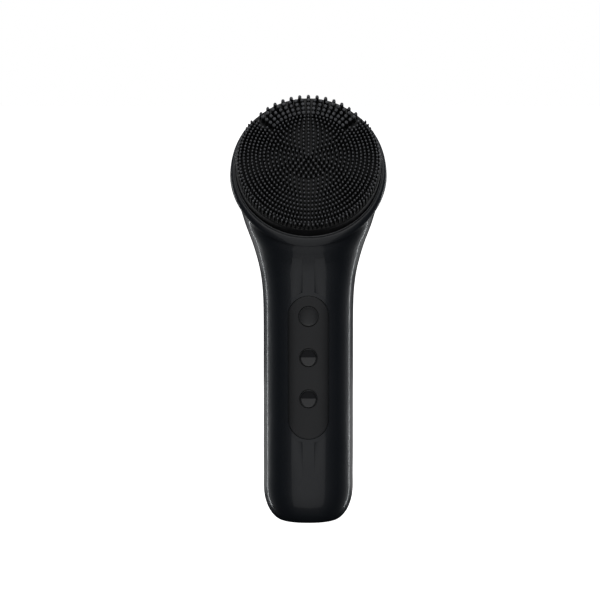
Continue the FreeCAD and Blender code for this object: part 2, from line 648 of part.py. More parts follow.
def contact_holder(body):
    holder = contact_prism(0.06, HOLDER_T).common(body)
    pins = [rod(PIN_R, V(x, 0, CHARGE_Z), V(x, 30, CHARGE_Z)) for x in (-PIN_X, PIN_X)]
    pocket_end = GRIP_HALF_D - HOLDER_T + MAGNET_T + 0.1
    pockets = [rod(MAGNET_R + 0.05, V(x, 0, CHARGE_Z), V(x, pocket_end, CHARGE_Z))
               for x in (-MAGNET_X, MAGNET_X)]
    return holder.cut(Part.makeCompound(pins + pockets))


def charging_pins(body):
    start = GRIP_HALF_D - HOLDER_T - 1.2
    pins = [rod(PIN_R, V(x, start, CHARGE_Z), V(x, 30, CHARGE_Z)) for x in (-PIN_X, PIN_X)]
    return Part.makeCompound([p.common(body) for p in pins])


def charging_magnets():
    y0 = GRIP_HALF_D - HOLDER_T
    return Part.makeCompound([rod(MAGNET_R, V(x, y0, CHARGE_Z), V(x, y0 + MAGNET_T, CHARGE_Z))
                              for x in (-MAGNET_X, MAGNET_X)])


# --- all parts ----------------------------------------------------------------------------
def all_parts():
    body = body_form(0.0, MOUTH_EDGE_R)
    cavity = body_form(WALL)
    front, rear = casings(body, cavity)
    parts = {
        "front_casing": front,
        "rear_casing": rear,
        "casing_seal": casing_seal_form(),
        "trim_ring": trim_ring(),
        "control_panel": control_panel(body),
        "switch_bodies": switch_bodies(),
        "main_circuit_board": main_circuit_board(),
        "board_screws": board_screws(),
        "controller_chip": controller_chip(),
        "battery_connector": battery_connector(),
        "inner_chassis": inner_chassis(),
        "chassis_screws": chassis_screws(),
        "battery_cell": battery_cell(),
        "head_deck": head_deck(),
        "deck_seal": deck_seal(),
        "deck_screws": deck_screws(),
        "motor_bracket": motor_bracket(),
        "motor_can": motor_can(),
        "motor_end_cap": motor_end_cap(),
        "motor_bush": motor_bush(),
        "motor_shaft": motor_shaft(),
        "motor_armature": motor_armature(),
        "eccentric_weight": eccentric_weight(),
        "motor_leads": motor_leads(),
        "brush_carrier": brush_carrier(),
        "brush_pad": brush_pad(),
        "bristle_field": bristle_field(),
        "contact_holder": contact_holder(body),
        "charging_pins": charging_pins(body),
        "charging_magnets": charging_magnets(),
    }
    for name, (z, radius) in BUTTONS.items():
        parts[name + "_button"] = button(z, radius)
        parts[name + "_switch_plunger"] = plunger(z)
    return parts


def main():
    os.makedirs("parts", exist_ok=True)
    for name, shape in all_parts().items():
        solids = shape.Solids
        shape = solids[0] if len(solids) == 1 else Part.makeCompound(solids)
        print(f"{name:28s} solids {len(solids)}  volume {shape.Volume:9.1f}  valid {shape.isValid()}")
        shape.exportStep(f"parts/{name}.step")


main()
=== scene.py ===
import json
import math

import bmesh
import bpy
import numpy as np
from mathutils import Matrix, Vector


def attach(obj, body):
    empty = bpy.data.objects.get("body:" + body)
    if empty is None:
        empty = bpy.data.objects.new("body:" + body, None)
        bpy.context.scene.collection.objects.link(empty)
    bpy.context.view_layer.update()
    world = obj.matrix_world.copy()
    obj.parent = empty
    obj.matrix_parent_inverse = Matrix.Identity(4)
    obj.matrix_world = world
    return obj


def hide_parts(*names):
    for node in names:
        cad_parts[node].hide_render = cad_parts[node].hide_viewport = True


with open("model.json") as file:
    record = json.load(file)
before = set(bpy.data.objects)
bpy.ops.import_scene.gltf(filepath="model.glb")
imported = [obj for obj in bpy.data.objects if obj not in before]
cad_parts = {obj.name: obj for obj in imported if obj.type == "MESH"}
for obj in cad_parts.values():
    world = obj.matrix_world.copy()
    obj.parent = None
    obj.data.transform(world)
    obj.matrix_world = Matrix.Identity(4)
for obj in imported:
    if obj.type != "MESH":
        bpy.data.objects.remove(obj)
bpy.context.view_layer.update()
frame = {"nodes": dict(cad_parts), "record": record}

MM = 0.001

# Lengths below are in millimetres, in the frame's own directions: +Z up the grip, -Y the front.
# The head has a frame of its own: x, u up the brush face, and n out of it, 0 at the mouth.

# --- sizes ----------------------------------------------------------------------------------
WALL = 2.0
FACE_TILT = 27.0
HEAD_Y, HEAD_Z = -4.0, 141.4
MOUTH_RIM_R, MOUTH_EDGE_R = 30.8, 1.0
MOUTH_FLARE = (0.27, 0.69, 0.17)    # level, swing from top to bottom, twist at the sides

GRIP_HALF_W, GRIP_HALF_D, GRIP_EXPONENT = 18.0, 15.0, 2.35
BASE_CORNER_IN_X, BASE_CORNER_IN_Y, BASE_CORNER_H = 8.2, 5.2, 14.0
GRIP_WIDTHS = {18.0: 17.97, 24.0: 18.0, 34.0: 18.02, 50.0: 17.98, 66.0: 17.95, 78.0: 17.94,
               86.0: 18.0, 93.0: 18.3}
HEAD_OVALS = [                 # plane's angle, front, back, half width, exponent
    (0.0, 10.0, 40.0, 19.2, 2.3),
    (10.5, 10.08, 41.2, 20.2, 2.24),
    (21.0, 10.33, 44.1, 21.55, 2.16),
    (31.5, 10.77, 49.9, 23.45, 2.08),
    (42.0, 11.62, 58.6, 26.0, 2.0),
    (50.0, 12.65, 68.2, 28.25, 1.9),
    (57.0, 13.97, 75.5, 31.05, 1.84),
]
PIVOT_Y = -25.0
OVAL_POINTS, CORNER_STEPS, EDGE_STEPS = 24, 6, 4

PARTING_Y, PARTING_N, PARTING_GAP = 1.0, -9.0, 0.12
THROAT_R, THROAT_N, SEAT_R, SEAT_N = 28.6, -4.5, 29.55, -2.0
SHELL_NODES = {"front_shell": "front_casing", "rear_shell": "rear_casing"}

PANEL_R, PANEL_GAP, PANEL_T, PANEL_LAND = 8.15, 0.12, 1.4, 1.5
PANEL_TOP_Z, PANEL_BOTTOM_Z = 83.7, 42.75
PANEL_BACK_GAP, PANEL_BACK_RING_IN = 0.02, 2
PANEL_EDGE = ((0.0, 0.14), (0.03, 0.06), (0.09, 0.015), (0.2, 0.0))     # in from the rim, depth
PANEL_FACE_SHARES = (0.9, 0.75, 0.6, 0.45, 0.3, 0.15, 0.0)
PANEL_SEAT = ((0.25, None), (0.25, -0.12), (0.06, -0.01), (0.0, 0.10))  # out from it, depth
WINDOW_R, WINDOW_DEEP, LAND_DEEP = 6.5, 5.0, 4.0
GROOVE_IN, GROOVE_OUT, GROOVE_DEEP = 2.4, 6.6, 0.8
GROOVE_STATIONS = (0.0, 0.08, 0.17, 0.27, 0.38, 0.5, 0.62, 0.74, 0.87, 1.0)
GROOVE_TOP_Z, GROOVE_BOTTOM_Z = 107.0, 19.5
GROOVE_FADE, GROOVE_SKIN, GROOVE_OVER = 2.2, 0.02, 2

BUTTONS = {"power": (83.7, 3.9), "speed_up": (67.3, 3.5), "speed_down": (50.9, 3.5)}
BUTTON_GAP, BUTTON_PROUD, BUTTON_DISH = 0.15, 0.35, 0.55
BUTTON_LIP, CREASE_DEEP = 0.22, 1.1
KEY_STEPS, FACE_RINGS, KEY_EDGE_R = 96, 18, 0.18
KEY_TOP_Y = -GRIP_HALF_D - BUTTON_PROUD
FLANGE_Y, STEM_Y, STEM_R = -13.2, -12.32, 1.4
FLANGE_OUT, FLANGE_RIM_T, FLANGE_MIDDLE_T = 1.0, 0.55, 0.6
HOLE_BEVEL, HOLE_BEVEL_ENDS, HOLE_ENDS = 0.3, (-0.05, 0.15), (-3.0, 4.0)
WALL_STEEPNESS = 30              # of the walls at the ends of a key's crease

PAD_R, PAD_T, PAD_FOOT_N = 28.7, 2.2, -1.5
PAD_EDGE_N, PAD_APEX_N, PAD_EDGE_ROUND = 4.8, 9.7, 0.8
PAD_SKIRT_H, PAD_WAIST_IN, PAD_WAIST_N, PAD_WAIST_UNDER = 1.2, 0.12, 0.7, 0.6
PAD_EDGE_IN = 0.05
HEAD_STEPS, DOME_RINGS, UNDER_RINGS = 256, 40, 12
TRIM_IN_R, TRIM_OUT_R, TRIM_FOOT_N, TRIM_TOP_N = 28.85, 29.5, -2.0, 0.3

BRISTLE_H, BRISTLE_OUT_R = 4.5, 28.6
FINE_RING_PITCH = 1.58
FINE_RING_COUNTS = [1, 5, 10, 15, 20, 25, 30, 36, 42, 50, 60, 72, 80, 90, 100, 100, 120, 120, 100]
FINE_R, COARSE_R, BRISTLE_LEAN = 0.42, 0.74, 0.02
BRISTLE_ROOT = ((1.25, -0.1), (1.02, 0.25))     # share of its radius, height
BRISTLE_TIP, BRISTLE_FOOT_IN, OUTER_RING_IN = 0.92, 0.9, 0.35
COARSE_HALF_ANGLE, COARSE_IN_R = 51.0, 18.2
COARSE_RADII, COARSE_PITCH = (19.1, 21.1, 23.2, 25.3), 5.625
COARSE_OUT_R, COARSE_OUT_PITCH = 27.0, 7.3
COARSE_EXTRA_H = 0.3
SHADE_TO_HIGHLIGHT_SPAN = (3.3, 4.85)           # heights over the pad between which the painted shade of the roots gives way to the painted highlight of the tips
TIP_STOPS, BEYOND_TIP = (0.05, 0.72), 0.18      # the ramp's stops, and its share of the tip after them

ROWS_MM, COLUMNS = 1.0, 192      # the casing's mesh
EDGE_ROWS = 28                   # rings of that mesh round the mouth's edge
INSIDE_SHARE = 0.86              # of the body's length that the inner wall reaches
WELD, SLIVER = 1e-7, 2e-6        # m; points nearer than this are one, before and after cutting
FAR_FRONT_Y = -30.0              # in front of the whole grip

TILT = math.radians(FACE_TILT)
HEAD = Matrix.Translation((0, HEAD_Y, HEAD_Z)) @ Matrix.Rotation(math.pi / 2 - TILT, 4, "X")
PIVOT_Z = HEAD_Z + (PIVOT_Y - HEAD_Y) / math.tan(TILT)


# --- meshes ---------------------------------------------------------------------------------
def new_piece(name, verts, faces, body, place=None):
    """A mesh object from points in mm, riding on a body."""
    mesh = bpy.data.meshes.new(name)
    if place is not None:
        verts = [place @ Vector(v) for v in verts]
    mesh.from_pydata([tuple(c * MM for c in v) for v in verts], [], faces)
    mesh.validate()
    piece = bpy.data.objects.new(name, mesh)
    bpy.context.scene.collection.objects.link(piece)
    if body:
        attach(piece, body)
    return piece


def smooth(piece, degrees):
    """Smooth shading that keeps edges sharper than the angle."""
    for polygon in piece.data.polygons:
        polygon.use_smooth = True
    piece.data.set_sharp_from_angle(angle=math.radians(degrees))


def grid_faces(rows, columns, first=0):
    """Quads between rings of points, closed all the way round."""
    faces = []
    for r in range(rows - 1):
        for c in range(columns):
            d = (c + 1) % columns
            at = first + r * columns
            faces.append((at + c, at + d, at + columns + d, at + columns + c))
    return faces


def lathe(name, profile, steps, body, place, closed=True):
    """Turns an (r, n) profile about n. A profile that isn't closed ends on the axis."""
    verts = []
    for r, n in profile:
        for i in range(steps):
            turn = 2 * math.pi * i / steps
            verts.append((r * math.sin(turn), r * math.cos(turn), n))
    faces = grid_faces(len(profile), steps)
    if closed:
        last = (len(profile) - 1) * steps
        for i in range(steps):
            j = (i + 1) % steps
            faces.append((last + i, last + j, j, i))
    piece = new_piece(name, verts, faces, None, place)
    turn_outward(piece)
    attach(piece, body)
    return piece


def arc(middle, radius, start, end, steps):
    """Points on an arc, angles in degrees from the r axis towards n."""
    turns = [math.radians(start + (end - start) * i / steps) for i in range(steps + 1)]
    return [(middle[0] + radius * math.cos(t), middle[1] + radius * math.sin(t)) for t in turns]


def carve(piece, tool, operation="DIFFERENCE"):
    """Cuts piece with tool, or keeps what they share, and deletes the tool."""
    cut = piece.modifiers.new("cut", "BOOLEAN")
    cut.operation = operation
    cut.solver = "EXACT"
    cut.object = tool
    done = bpy.data.meshes.new_from_object(piece.evaluated_get(bpy.context.evaluated_depsgraph_get()))
    piece.modifiers.remove(cut)
    old = piece.data
    piece.data = done
    bpy.data.meshes.remove(old)
    bpy.data.objects.remove(tool)


# --- the body's outer form ------------------------------------------------------------------
def spline(places, values, at):
    """The natural cubic spline through values at places, read at other places."""
    gaps = np.diff(places)
    system = np.eye(len(places))
    right = np.zeros_like(values)
    for i in range(1, len(places) - 1):
        system[i, i - 1:i + 2] = gaps[i - 1], 2 * (gaps[i - 1] + gaps[i]), gaps[i]
        rise = (values[i + 1] - values[i]) / gaps[i]
        right[i] = 6 * (rise - (values[i] - values[i - 1]) / gaps[i - 1])
    bend = np.linalg.solve(system, right.reshape(len(places), -1)).reshape(values.shape)
    span = np.clip(np.searchsorted(places, at, side="right") - 1, 0, len(gaps) - 1)
    wide = (len(at),) + (1,) * (values.ndim - 1)
    gap = gaps[span].reshape(wide)
    b = (np.asarray(at).reshape(wide) - places[span].reshape(wide)) / gap
    a = 1 - b
    curve = (a ** 3 - a) * bend[span] + (b ** 3 - b) * bend[span + 1]
    return a * values[span] + b * values[span + 1] + curve * gap ** 2 / 6


def signed_power(value, power):
    return math.copysign(abs(value) ** power, value)


def oval(y, z, angle, front, back, half_width, exponent):
    """Points of a superellipse in a plane through (y, z) that rises towards the back by angle."""
    middle, half = (front + back) / 2, (back - front) / 2
    across, up = math.cos(math.radians(angle)), math.sin(math.radians(angle))
    points = []
    for i in range(OVAL_POINTS):
        turn = 2 * math.pi * i / OVAL_POINTS
        x = -half_width * signed_power(math.sin(turn), 2 / exponent)
        s = middle + half * signed_power(math.cos(turn), 2 / exponent)
        points.append((x, y + s * across, z + s * up))
    return points


def flare(turn):
    """How fast the casing widens below the mouth, at a turn from the top of the mouth."""
    level, swing, twist = MOUTH_FLARE
    return level - swing * math.cos(turn) + twist * math.cos(2 * turn)


def head_ring(radius, n, count, flared=False):
    """Points parallel to the mouth: a circle, or an outline that widens below the mouth."""
    points = []
    for i in range(count):
        turn = 2 * math.pi * i / count
        reach = radius - n * flare(turn) if flared else radius
        points.append(tuple(HEAD @ Vector((-reach * math.sin(turn), reach * math.cos(turn), n))))
    return points


def body_ovals(inset, edge):
    """The body's outlines from the base to the mouth, inset from the outside."""
    ovals = []
    for step in range(CORNER_STEPS + 1):
        turn = math.pi / 2 * step / CORNER_STEPS
        z = inset + (BASE_CORNER_H - inset) * (1 - math.cos(turn))
        half_w = GRIP_HALF_W - inset - BASE_CORNER_IN_X * (1 - math.sin(turn))
        half_d = GRIP_HALF_D - inset - BASE_CORNER_IN_Y * (1 - math.sin(turn))
        ovals.append(oval(0, z, 0, -half_d, half_d, half_w, GRIP_EXPONENT))
    for z, half_w in GRIP_WIDTHS.items():
        half_d = GRIP_HALF_D - inset
        ovals.append(oval(0, z, 0, -half_d, half_d, half_w - inset, GRIP_EXPONENT))
    for angle, front, back, half_w, exponent in HEAD_OVALS:
        ovals.append(oval(PIVOT_Y, PIVOT_Z, angle, front + inset, back - inset, half_w - inset,
                          exponent))
    for step in range(EDGE_STEPS + 1 if edge else 1):
        turn = math.pi / 2 * step / EDGE_STEPS
        radius = MOUTH_RIM_R - inset - edge * (1 - math.cos(turn))
        ovals.append(head_ring(radius, edge * (math.sin(turn) - 1), OVAL_POINTS, True))
    return np.array(ovals)


def body_rows(inset, edge, row_mm, share=1.0):
    """Rings of points up the body's surface, about row_mm apart, up to a share of its length."""
    ovals = body_ovals(inset, edge)
    lap = 6
    wrapped = np.concatenate([ovals[:, -lap:], ovals, ovals[:, :lap + 1]], axis=1)
    around = np.arange(wrapped.shape[1]) - float(lap)
    columns = np.arange(COLUMNS) * OVAL_POINTS / COLUMNS
    rings = spline(around, wrapped.transpose(1, 0, 2), columns).transpose(1, 0, 2)
    steps = np.linalg.norm(np.diff(ovals, axis=0), axis=2).mean(axis=1)
    places = np.concatenate([[0.0], np.cumsum(steps)])
    end = places[-1] * share
    at = np.linspace(0.0, end, int(end / row_mm) + 1)
    if edge:
        fine_from = places[-EDGE_STEPS - 1] - edge
        fine = np.linspace(fine_from, end, EDGE_ROWS)
        at = np.concatenate([at[at < fine_from - row_mm / 2], fine])
    return spline(places, rings, at)


def casing_bottle():
    """The whole casing wall: the outside, the mouth with its seat, and the inside."""
    outside = body_rows(0.0, MOUTH_EDGE_R, ROWS_MM)
    mouth = [head_ring(radius, n, COLUMNS) for radius, n in
             ((SEAT_R, 0.0), (SEAT_R, SEAT_N), (THROAT_R, SEAT_N), (THROAT_R, THROAT_N))]
    inside = body_rows(WALL, 0.0, 2 * ROWS_MM, INSIDE_SHARE)[::-1]
    rings = list(outside) + [np.array(ring) for ring in mouth] + list(inside)
    verts = [tuple(p) for ring in rings for p in ring]
    faces = grid_faces(len(rings), COLUMNS)
    last = (len(rings) - 1) * COLUMNS
    faces.append(tuple(range(COLUMNS - 1, -1, -1)))
    faces.append(tuple(last + c for c in range(COLUMNS)))
    return new_piece("casing_bottle", verts, faces, None), outside


def front_prism(shift):
    """Everything in front of the parting surface, moved forward by shift."""
    far = 200.0
    knee_u = (PARTING_Y - HEAD_Y + PARTING_N * math.cos(TILT)) / math.sin(TILT)
    knee = HEAD @ Vector((0, knee_u, PARTING_N))
    top = HEAD @ Vector((0, far, PARTING_N))
    side = [(PARTING_Y - shift, -far), (PARTING_Y - shift, knee.z), (top.y - shift, top.z),
            (-far, top.z), (-far, -far)]
    verts = [(x, y, z) for x in (-far, far) for y, z in side]
    count = len(side)
    faces = [tuple(range(count)), tuple(range(2 * count - 1, count - 1, -1))]
    for i in range(count):
        j = (i + 1) % count
        faces.append((i, i + count, j + count, j))
    prism = new_piece("front_prism", verts, faces, None)
    turn_outward(prism)
    return prism


class Front:
    """The grip's front surface: y at an x and z."""

    def __init__(self, outside):
        columns = range(COLUMNS // 2 - COLUMNS // 4, COLUMNS // 2 + COLUMNS // 4 + 1)
        strip = outside[:, list(columns)]
        self.heights = strip[:, :, 2].mean(axis=1)
        self.x, self.y = strip[:, :, 0], strip[:, :, 1]

    def at(self, x, z):
        row = int(np.clip(np.searchsorted(self.heights, z), 1, len(self.heights) - 1))
        low, high = self.heights[row - 1], self.heights[row]
        share = min(max((z - low) / (high - low), 0.0), 1.0)
        ys = [np.interp(x, self.x[r], self.y[r]) for r in (row - 1, row)]
        return ys[0] * (1 - share) + ys[1] * share


def capsule_outline(radius, arc_steps=40, side_steps=30):
    """(x, z) points round a capsule of that radius on the panel's middle line."""
    points = []
    for i in range(arc_steps):
        turn = math.pi * i / arc_steps
        points.append((radius * math.cos(turn), PANEL_TOP_Z + radius * math.sin(turn)))
    for i in range(side_steps):
        z = PANEL_TOP_Z + (PANEL_BOTTOM_Z - PANEL_TOP_Z) * i / side_steps
        points.append((-radius, z))
    for i in range(arc_steps):
        turn = math.pi * (1 + i / arc_steps)
        points.append((radius * math.cos(turn), PANEL_BOTTOM_Z + radius * math.sin(turn)))
    for i in range(side_steps):
        z = PANEL_BOTTOM_Z + (PANEL_TOP_Z - PANEL_BOTTOM_Z) * i / side_steps
        points.append((radius, z))
    return points


def capsule_stack(name, loops, front):
    """A closed form of capsule outlines: each loop is its radius and its depth under the front.

    A depth of None is a plane far in front of the grip.
    """
    verts = []
    for radius, depth in loops:
        for x, z in capsule_outline(radius):
            y = FAR_FRONT_Y if depth is None else front.at(x, z) + depth
            verts.append((x, y, z))
    count = len(capsule_outline(1.0))
    faces = grid_faces(len(loops), count)
    last = (len(loops) - 1) * count
    if loops[0][0]:
        faces.append(tuple(range(count - 1, -1, -1)))
    if loops[-1][0]:
        faces.append(tuple(last + c for c in range(count)))
    piece = new_piece(name, verts, faces, None)
    turn_outward(piece)
    return piece


def turn_outward(piece):
    """Welds points that lie together, drops loose edges and turns every face outward."""
    work = bmesh.new()
    work.from_mesh(piece.data)
    bmesh.ops.remove_doubles(work, verts=work.verts, dist=WELD)
    loose = [edge for edge in work.edges if edge.is_wire]
    bmesh.ops.delete(work, geom=loose, context="EDGES")
    bmesh.ops.recalc_face_normals(work, faces=work.faces)
    work.to_mesh(piece.data)
    work.free()


def drop_slivers(piece):
    """Removes the triangles without area that cutting can leave, and turns faces outward."""
    work = bmesh.new()
    work.from_mesh(piece.data)
    bmesh.ops.remove_doubles(work, verts=work.verts, dist=SLIVER)
    bmesh.ops.triangulate(work, faces=work.faces)
    bmesh.ops.dissolve_degenerate(work, edges=work.edges, dist=SLIVER)
    bmesh.ops.recalc_face_normals(work, faces=work.faces)
    work.to_mesh(piece.data)
    work.free()


def groove_tool(side, z_deep, z_end, front):
    """The space of one saw-tooth groove, from the panel's land to where it fades out."""
    steps = 40
    verts = []
    for i in range(steps + 1):
        share = i / steps
        z = z_deep + (z_end - z_deep) * share
        depth = GROOVE_DEEP * (1 - share ** GROOVE_FADE) + GROOVE_SKIN
        corners = []
        for across in GROOVE_STATIONS:
            x = GROOVE_IN + (GROOVE_OUT - GROOVE_IN) * across
            corners.append((x, front.at(x, z) + depth * (1 - across) ** 2))
        corners.append((GROOVE_OUT, front.at(GROOVE_OUT, z) - GROOVE_OVER))
        corners.append((GROOVE_IN, front.at(GROOVE_IN, z) - GROOVE_OVER))
        verts += [(side * x, y, z) for x, y in corners]
    count = len(GROOVE_STATIONS) + 2
    faces = grid_faces(steps + 1, count)
    faces.append(tuple(range(count - 1, -1, -1)))
    faces.append(tuple(count * steps + c for c in range(count)))
    piece = new_piece("groove_tool", verts, faces, None)
    turn_outward(piece)
    return piece


def make_casings():
    bottle, outside = casing_bottle()
    turn_outward(bottle)
    front = Front(outside)
    halves = {}
    for name in SHELL_NODES:
        half = bpy.data.objects.new(name, bottle.data.copy())
        bpy.context.scene.collection.objects.link(half)
        halves[name] = half
    bpy.data.objects.remove(bottle)
    carve(halves["rear_shell"], front_prism(-PARTING_GAP))
    carve(halves["front_shell"], front_prism(0.0), "INTERSECT")
    for side in (-1, 1):
        for z_deep, z_end in ((PANEL_TOP_Z, GROOVE_TOP_Z), (PANEL_BOTTOM_Z, GROOVE_BOTTOM_Z)):
            groove = groove_tool(side, z_deep, z_end, front)
            land = PANEL_R + PANEL_LAND
            carve(groove, capsule_stack("land", [(land, None), (land, LAND_DEEP)], front))
            carve(halves["front_shell"], groove)
    seat = [(PANEL_R + out, depth) for out, depth in PANEL_SEAT] + [(PANEL_R, PANEL_T)]
    carve(halves["front_shell"], capsule_stack("seat", seat, front))
    window = [(WINDOW_R, None), (WINDOW_R, WINDOW_DEEP)]
    carve(halves["front_shell"], capsule_stack("window", window, front))
    for name, node in SHELL_NODES.items():
        drop_slivers(halves[name])
        smooth(halves[name], 8)
        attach(halves[name], "handle")
        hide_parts(node)
        paint(halves[name], "gloss_shell")
    return front


# --- panel and buttons ----------------------------------------------------------------------
def make_panel(front):
    r, back = PANEL_R - PANEL_GAP, PANEL_T - PANEL_BACK_GAP
    loops = [(0.0, back), (r - PANEL_BACK_RING_IN, back), (r, back)]
    loops += [(r - inset, depth) for inset, depth in PANEL_EDGE]
    loops += [(r * share, 0.0) for share in PANEL_FACE_SHARES]
    panel = capsule_stack("panel", loops, front)
    bevel_top, bevel_foot = HOLE_BEVEL_ENDS
    start, end = HOLE_ENDS
    for z, radius in BUTTONS.values():
        wide, narrow = radius + HOLE_BEVEL, radius + BUTTON_GAP
        hole = [(0.0, start), (wide, start), (wide, bevel_top), (narrow, bevel_foot),
                (narrow, end), (0.0, end)]
        y = front.at(0.0, z)
        facing = Matrix.Translation((0, y, z)) @ Matrix.Rotation(-math.pi / 2, 4, "X")
        carve(panel, lathe("hole", hole, KEY_STEPS, "handle", facing, closed=False))
    smooth(panel, 8)
    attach(panel, "handle")
    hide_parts("control_panel")
    paint(panel, "panel_black")


def dish_depth(name, radius, r, angle):
    """Depth of a key's finger dish at a polar place on its face; angle 0 is up."""
    share = r / (radius - BUTTON_LIP)
    if name == "power":
        return BUTTON_DISH * (1 - share ** 2)
    ridge = abs(share * math.cos(angle))
    return CREASE_DEEP * (1 - ridge) * (1 - share ** WALL_STEEPNESS)


def key_verts(name, radius):
    """Rings of points from the middle of a key's face out, round its edge and back inside."""
    rings = []
    for i in range(FACE_RINGS + 1):
        r = (radius - BUTTON_LIP) * (1 - (1 - i / FACE_RINGS) ** 2)
        rings.append([(r, dish_depth(name, radius, r, 2 * math.pi * c / KEY_STEPS))
                      for c in range(KEY_STEPS)])
    edge = arc((radius - KEY_EDGE_R, KEY_EDGE_R), KEY_EDGE_R, 270, 360, 6)
    flange, stem = FLANGE_Y - KEY_TOP_Y, STEM_Y - KEY_TOP_Y
    rim = radius + FLANGE_OUT
    inside = [(radius, flange), (rim, flange), (rim, flange + FLANGE_RIM_T),
              (STEM_R, flange + FLANGE_MIDDLE_T), (STEM_R, stem), (0.0, stem)]
    rings += [[point] * KEY_STEPS for point in edge + inside]
    return rings


def make_buttons():
    for name, (z, radius) in BUTTONS.items():
        rings = key_verts(name, radius)
        verts = []
        for ring in rings:
            for c, (r, deep) in enumerate(ring):
                turn = 2 * math.pi * c / KEY_STEPS
                verts.append((r * math.sin(turn), KEY_TOP_Y + deep, z + r * math.cos(turn)))
        piece = new_piece(name + "_key_cap", verts, grid_faces(len(rings), KEY_STEPS),
                          name + "_key")
        turn_outward(piece)
        smooth(piece, 14)
        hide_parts(name + "_button")
        paint(piece, "button_black")


# --- brush head -----------------------------------------------------------------------------
def sphere_radius(edge_n, apex_n):
    """Radius of the sphere whose cap is as wide as the pad, between the two heights."""
    rise = apex_n - edge_n
    return (PAD_R ** 2 + rise ** 2) / (2 * rise)


def dome(r, edge_n, apex_n):
    """Height of that cap at a distance r from the middle."""
    sphere = sphere_radius(edge_n, apex_n)
    return apex_n - sphere + math.sqrt(sphere ** 2 - r ** 2)


def make_trim():
    width = TRIM_OUT_R - TRIM_IN_R
    crown = arc(((TRIM_IN_R + TRIM_OUT_R) / 2, TRIM_TOP_N - width / 2), width / 2, 0, 180, 10)
    ring = lathe("trim_bead", [(TRIM_OUT_R, TRIM_FOOT_N)] + crown + [(TRIM_IN_R, TRIM_FOOT_N)],
                 HEAD_STEPS, "handle", HEAD)
    smooth(ring, 40)
    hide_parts("trim_ring")
    paint(ring, "trim_black")


def make_pad():
    shoulder = PAD_R - PAD_EDGE_ROUND
    top = dome(shoulder, PAD_EDGE_N, PAD_APEX_N)
    waist = PAD_R - PAD_WAIST_IN
    outer = [(PAD_R, PAD_FOOT_N), (PAD_R, PAD_FOOT_N + PAD_SKIRT_H)]
    outer += [(waist, PAD_WAIST_N), (waist, top - PAD_EDGE_ROUND - PAD_WAIST_UNDER)]
    outer += arc((shoulder - PAD_EDGE_IN, top - PAD_EDGE_ROUND), PAD_EDGE_ROUND, 0, 80, 8)
    crown = [shoulder * (1 - i / DOME_RINGS) for i in range(1, DOME_RINGS + 1)]
    outer += [(r, dome(r, PAD_EDGE_N, PAD_APEX_N)) for r in crown]
    under = [(PAD_R - PAD_T) * i / UNDER_RINGS for i in range(UNDER_RINGS + 1)]
    inner = [(r, dome(r, PAD_EDGE_N - PAD_T, PAD_APEX_N - PAD_T)) for r in under]
    pad = lathe("silicone_pad", outer + inner + [(PAD_R - PAD_T, PAD_FOOT_N)], HEAD_STEPS,
                "brush_head", HEAD)
    smooth(pad, 40)
    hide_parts("brush_pad")
    paint(pad, "silicone_black")


def bristle_profile(radius, height):
    """(r, height) from a flared root to a round tip."""
    tip = radius * BRISTLE_TIP
    points = [(radius * share, up) for share, up in BRISTLE_ROOT] + [(radius, height * 0.5)]
    points += [(tip * math.cos(math.radians(a)), height - tip + tip * math.sin(math.radians(a)))
               for a in (0, 30, 58, 80)]
    return points


def bristle_mesh(name, spots, radius, sides=10):
    """One mesh of bristles. Each spot is its radius from the middle, angle and height."""
    verts, faces = [], []
    for r, angle, height in spots:
        lean = BRISTLE_LEAN * r / PAD_R
        out = Vector((math.sin(angle), math.cos(angle), 0))
        along = (Vector((0, 0, 1)) + lean * out).normalized()
        across = Vector((0, 0, 1)).cross(out).normalized()
        outward = across.cross(along)
        foot = out * r + Vector((0, 0, dome(min(r, PAD_R - BRISTLE_FOOT_IN), PAD_EDGE_N, PAD_APEX_N)))
        profile = bristle_profile(radius, height)
        first = len(verts)
        for reach, up in profile:
            for i in range(sides):
                turn = 2 * math.pi * i / sides
                rim = outward * math.cos(turn) + across * math.sin(turn)
                verts.append(foot + along * up + rim * reach)
        faces += grid_faces(len(profile), sides, first)
        last = first + (len(profile) - 1) * sides
        verts.append(foot + along * height)
        faces += [(last + i, last + (i + 1) % sides, len(verts) - 1) for i in range(sides)]
        faces.append(tuple(first + i for i in range(sides - 1, -1, -1)))
    piece = new_piece(name, verts, faces, "brush_head", HEAD)
    turn_outward(piece)
    smooth(piece, 50)
    return piece


def in_sector(r, angle):
    turned = math.degrees(math.atan2(math.sin(angle), math.cos(angle)))
    return r > COARSE_IN_R and abs(turned) < COARSE_HALF_ANGLE


def make_bristles():
    fine, coarse = [], []
    for k, count in enumerate(FINE_RING_COUNTS):
        r = min(k * FINE_RING_PITCH, BRISTLE_OUT_R - FINE_R - OUTER_RING_IN)
        for i in range(count):
            angle = 2 * math.pi * i / count
            if not in_sector(r, angle):
                fine.append((r, angle, BRISTLE_H))
    rows = [(r, COARSE_PITCH) for r in COARSE_RADII] + [(COARSE_OUT_R, COARSE_OUT_PITCH)]
    for r, pitch in rows:
        reach = int((COARSE_HALF_ANGLE - 1) / pitch)
        for i in range(-reach, reach + 1):
            coarse.append((r, math.radians(i * pitch), BRISTLE_H + COARSE_EXTRA_H))
    for piece in (bristle_mesh("fine_bristles", fine, FINE_R),
                  bristle_mesh("coarse_bristles", coarse, COARSE_R)):
        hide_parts("bristle_field")
        paint(piece, "bristle_black")


# --- materials ------------------------------------------------------------------------------
COAT_ROUGHNESS = 0.08


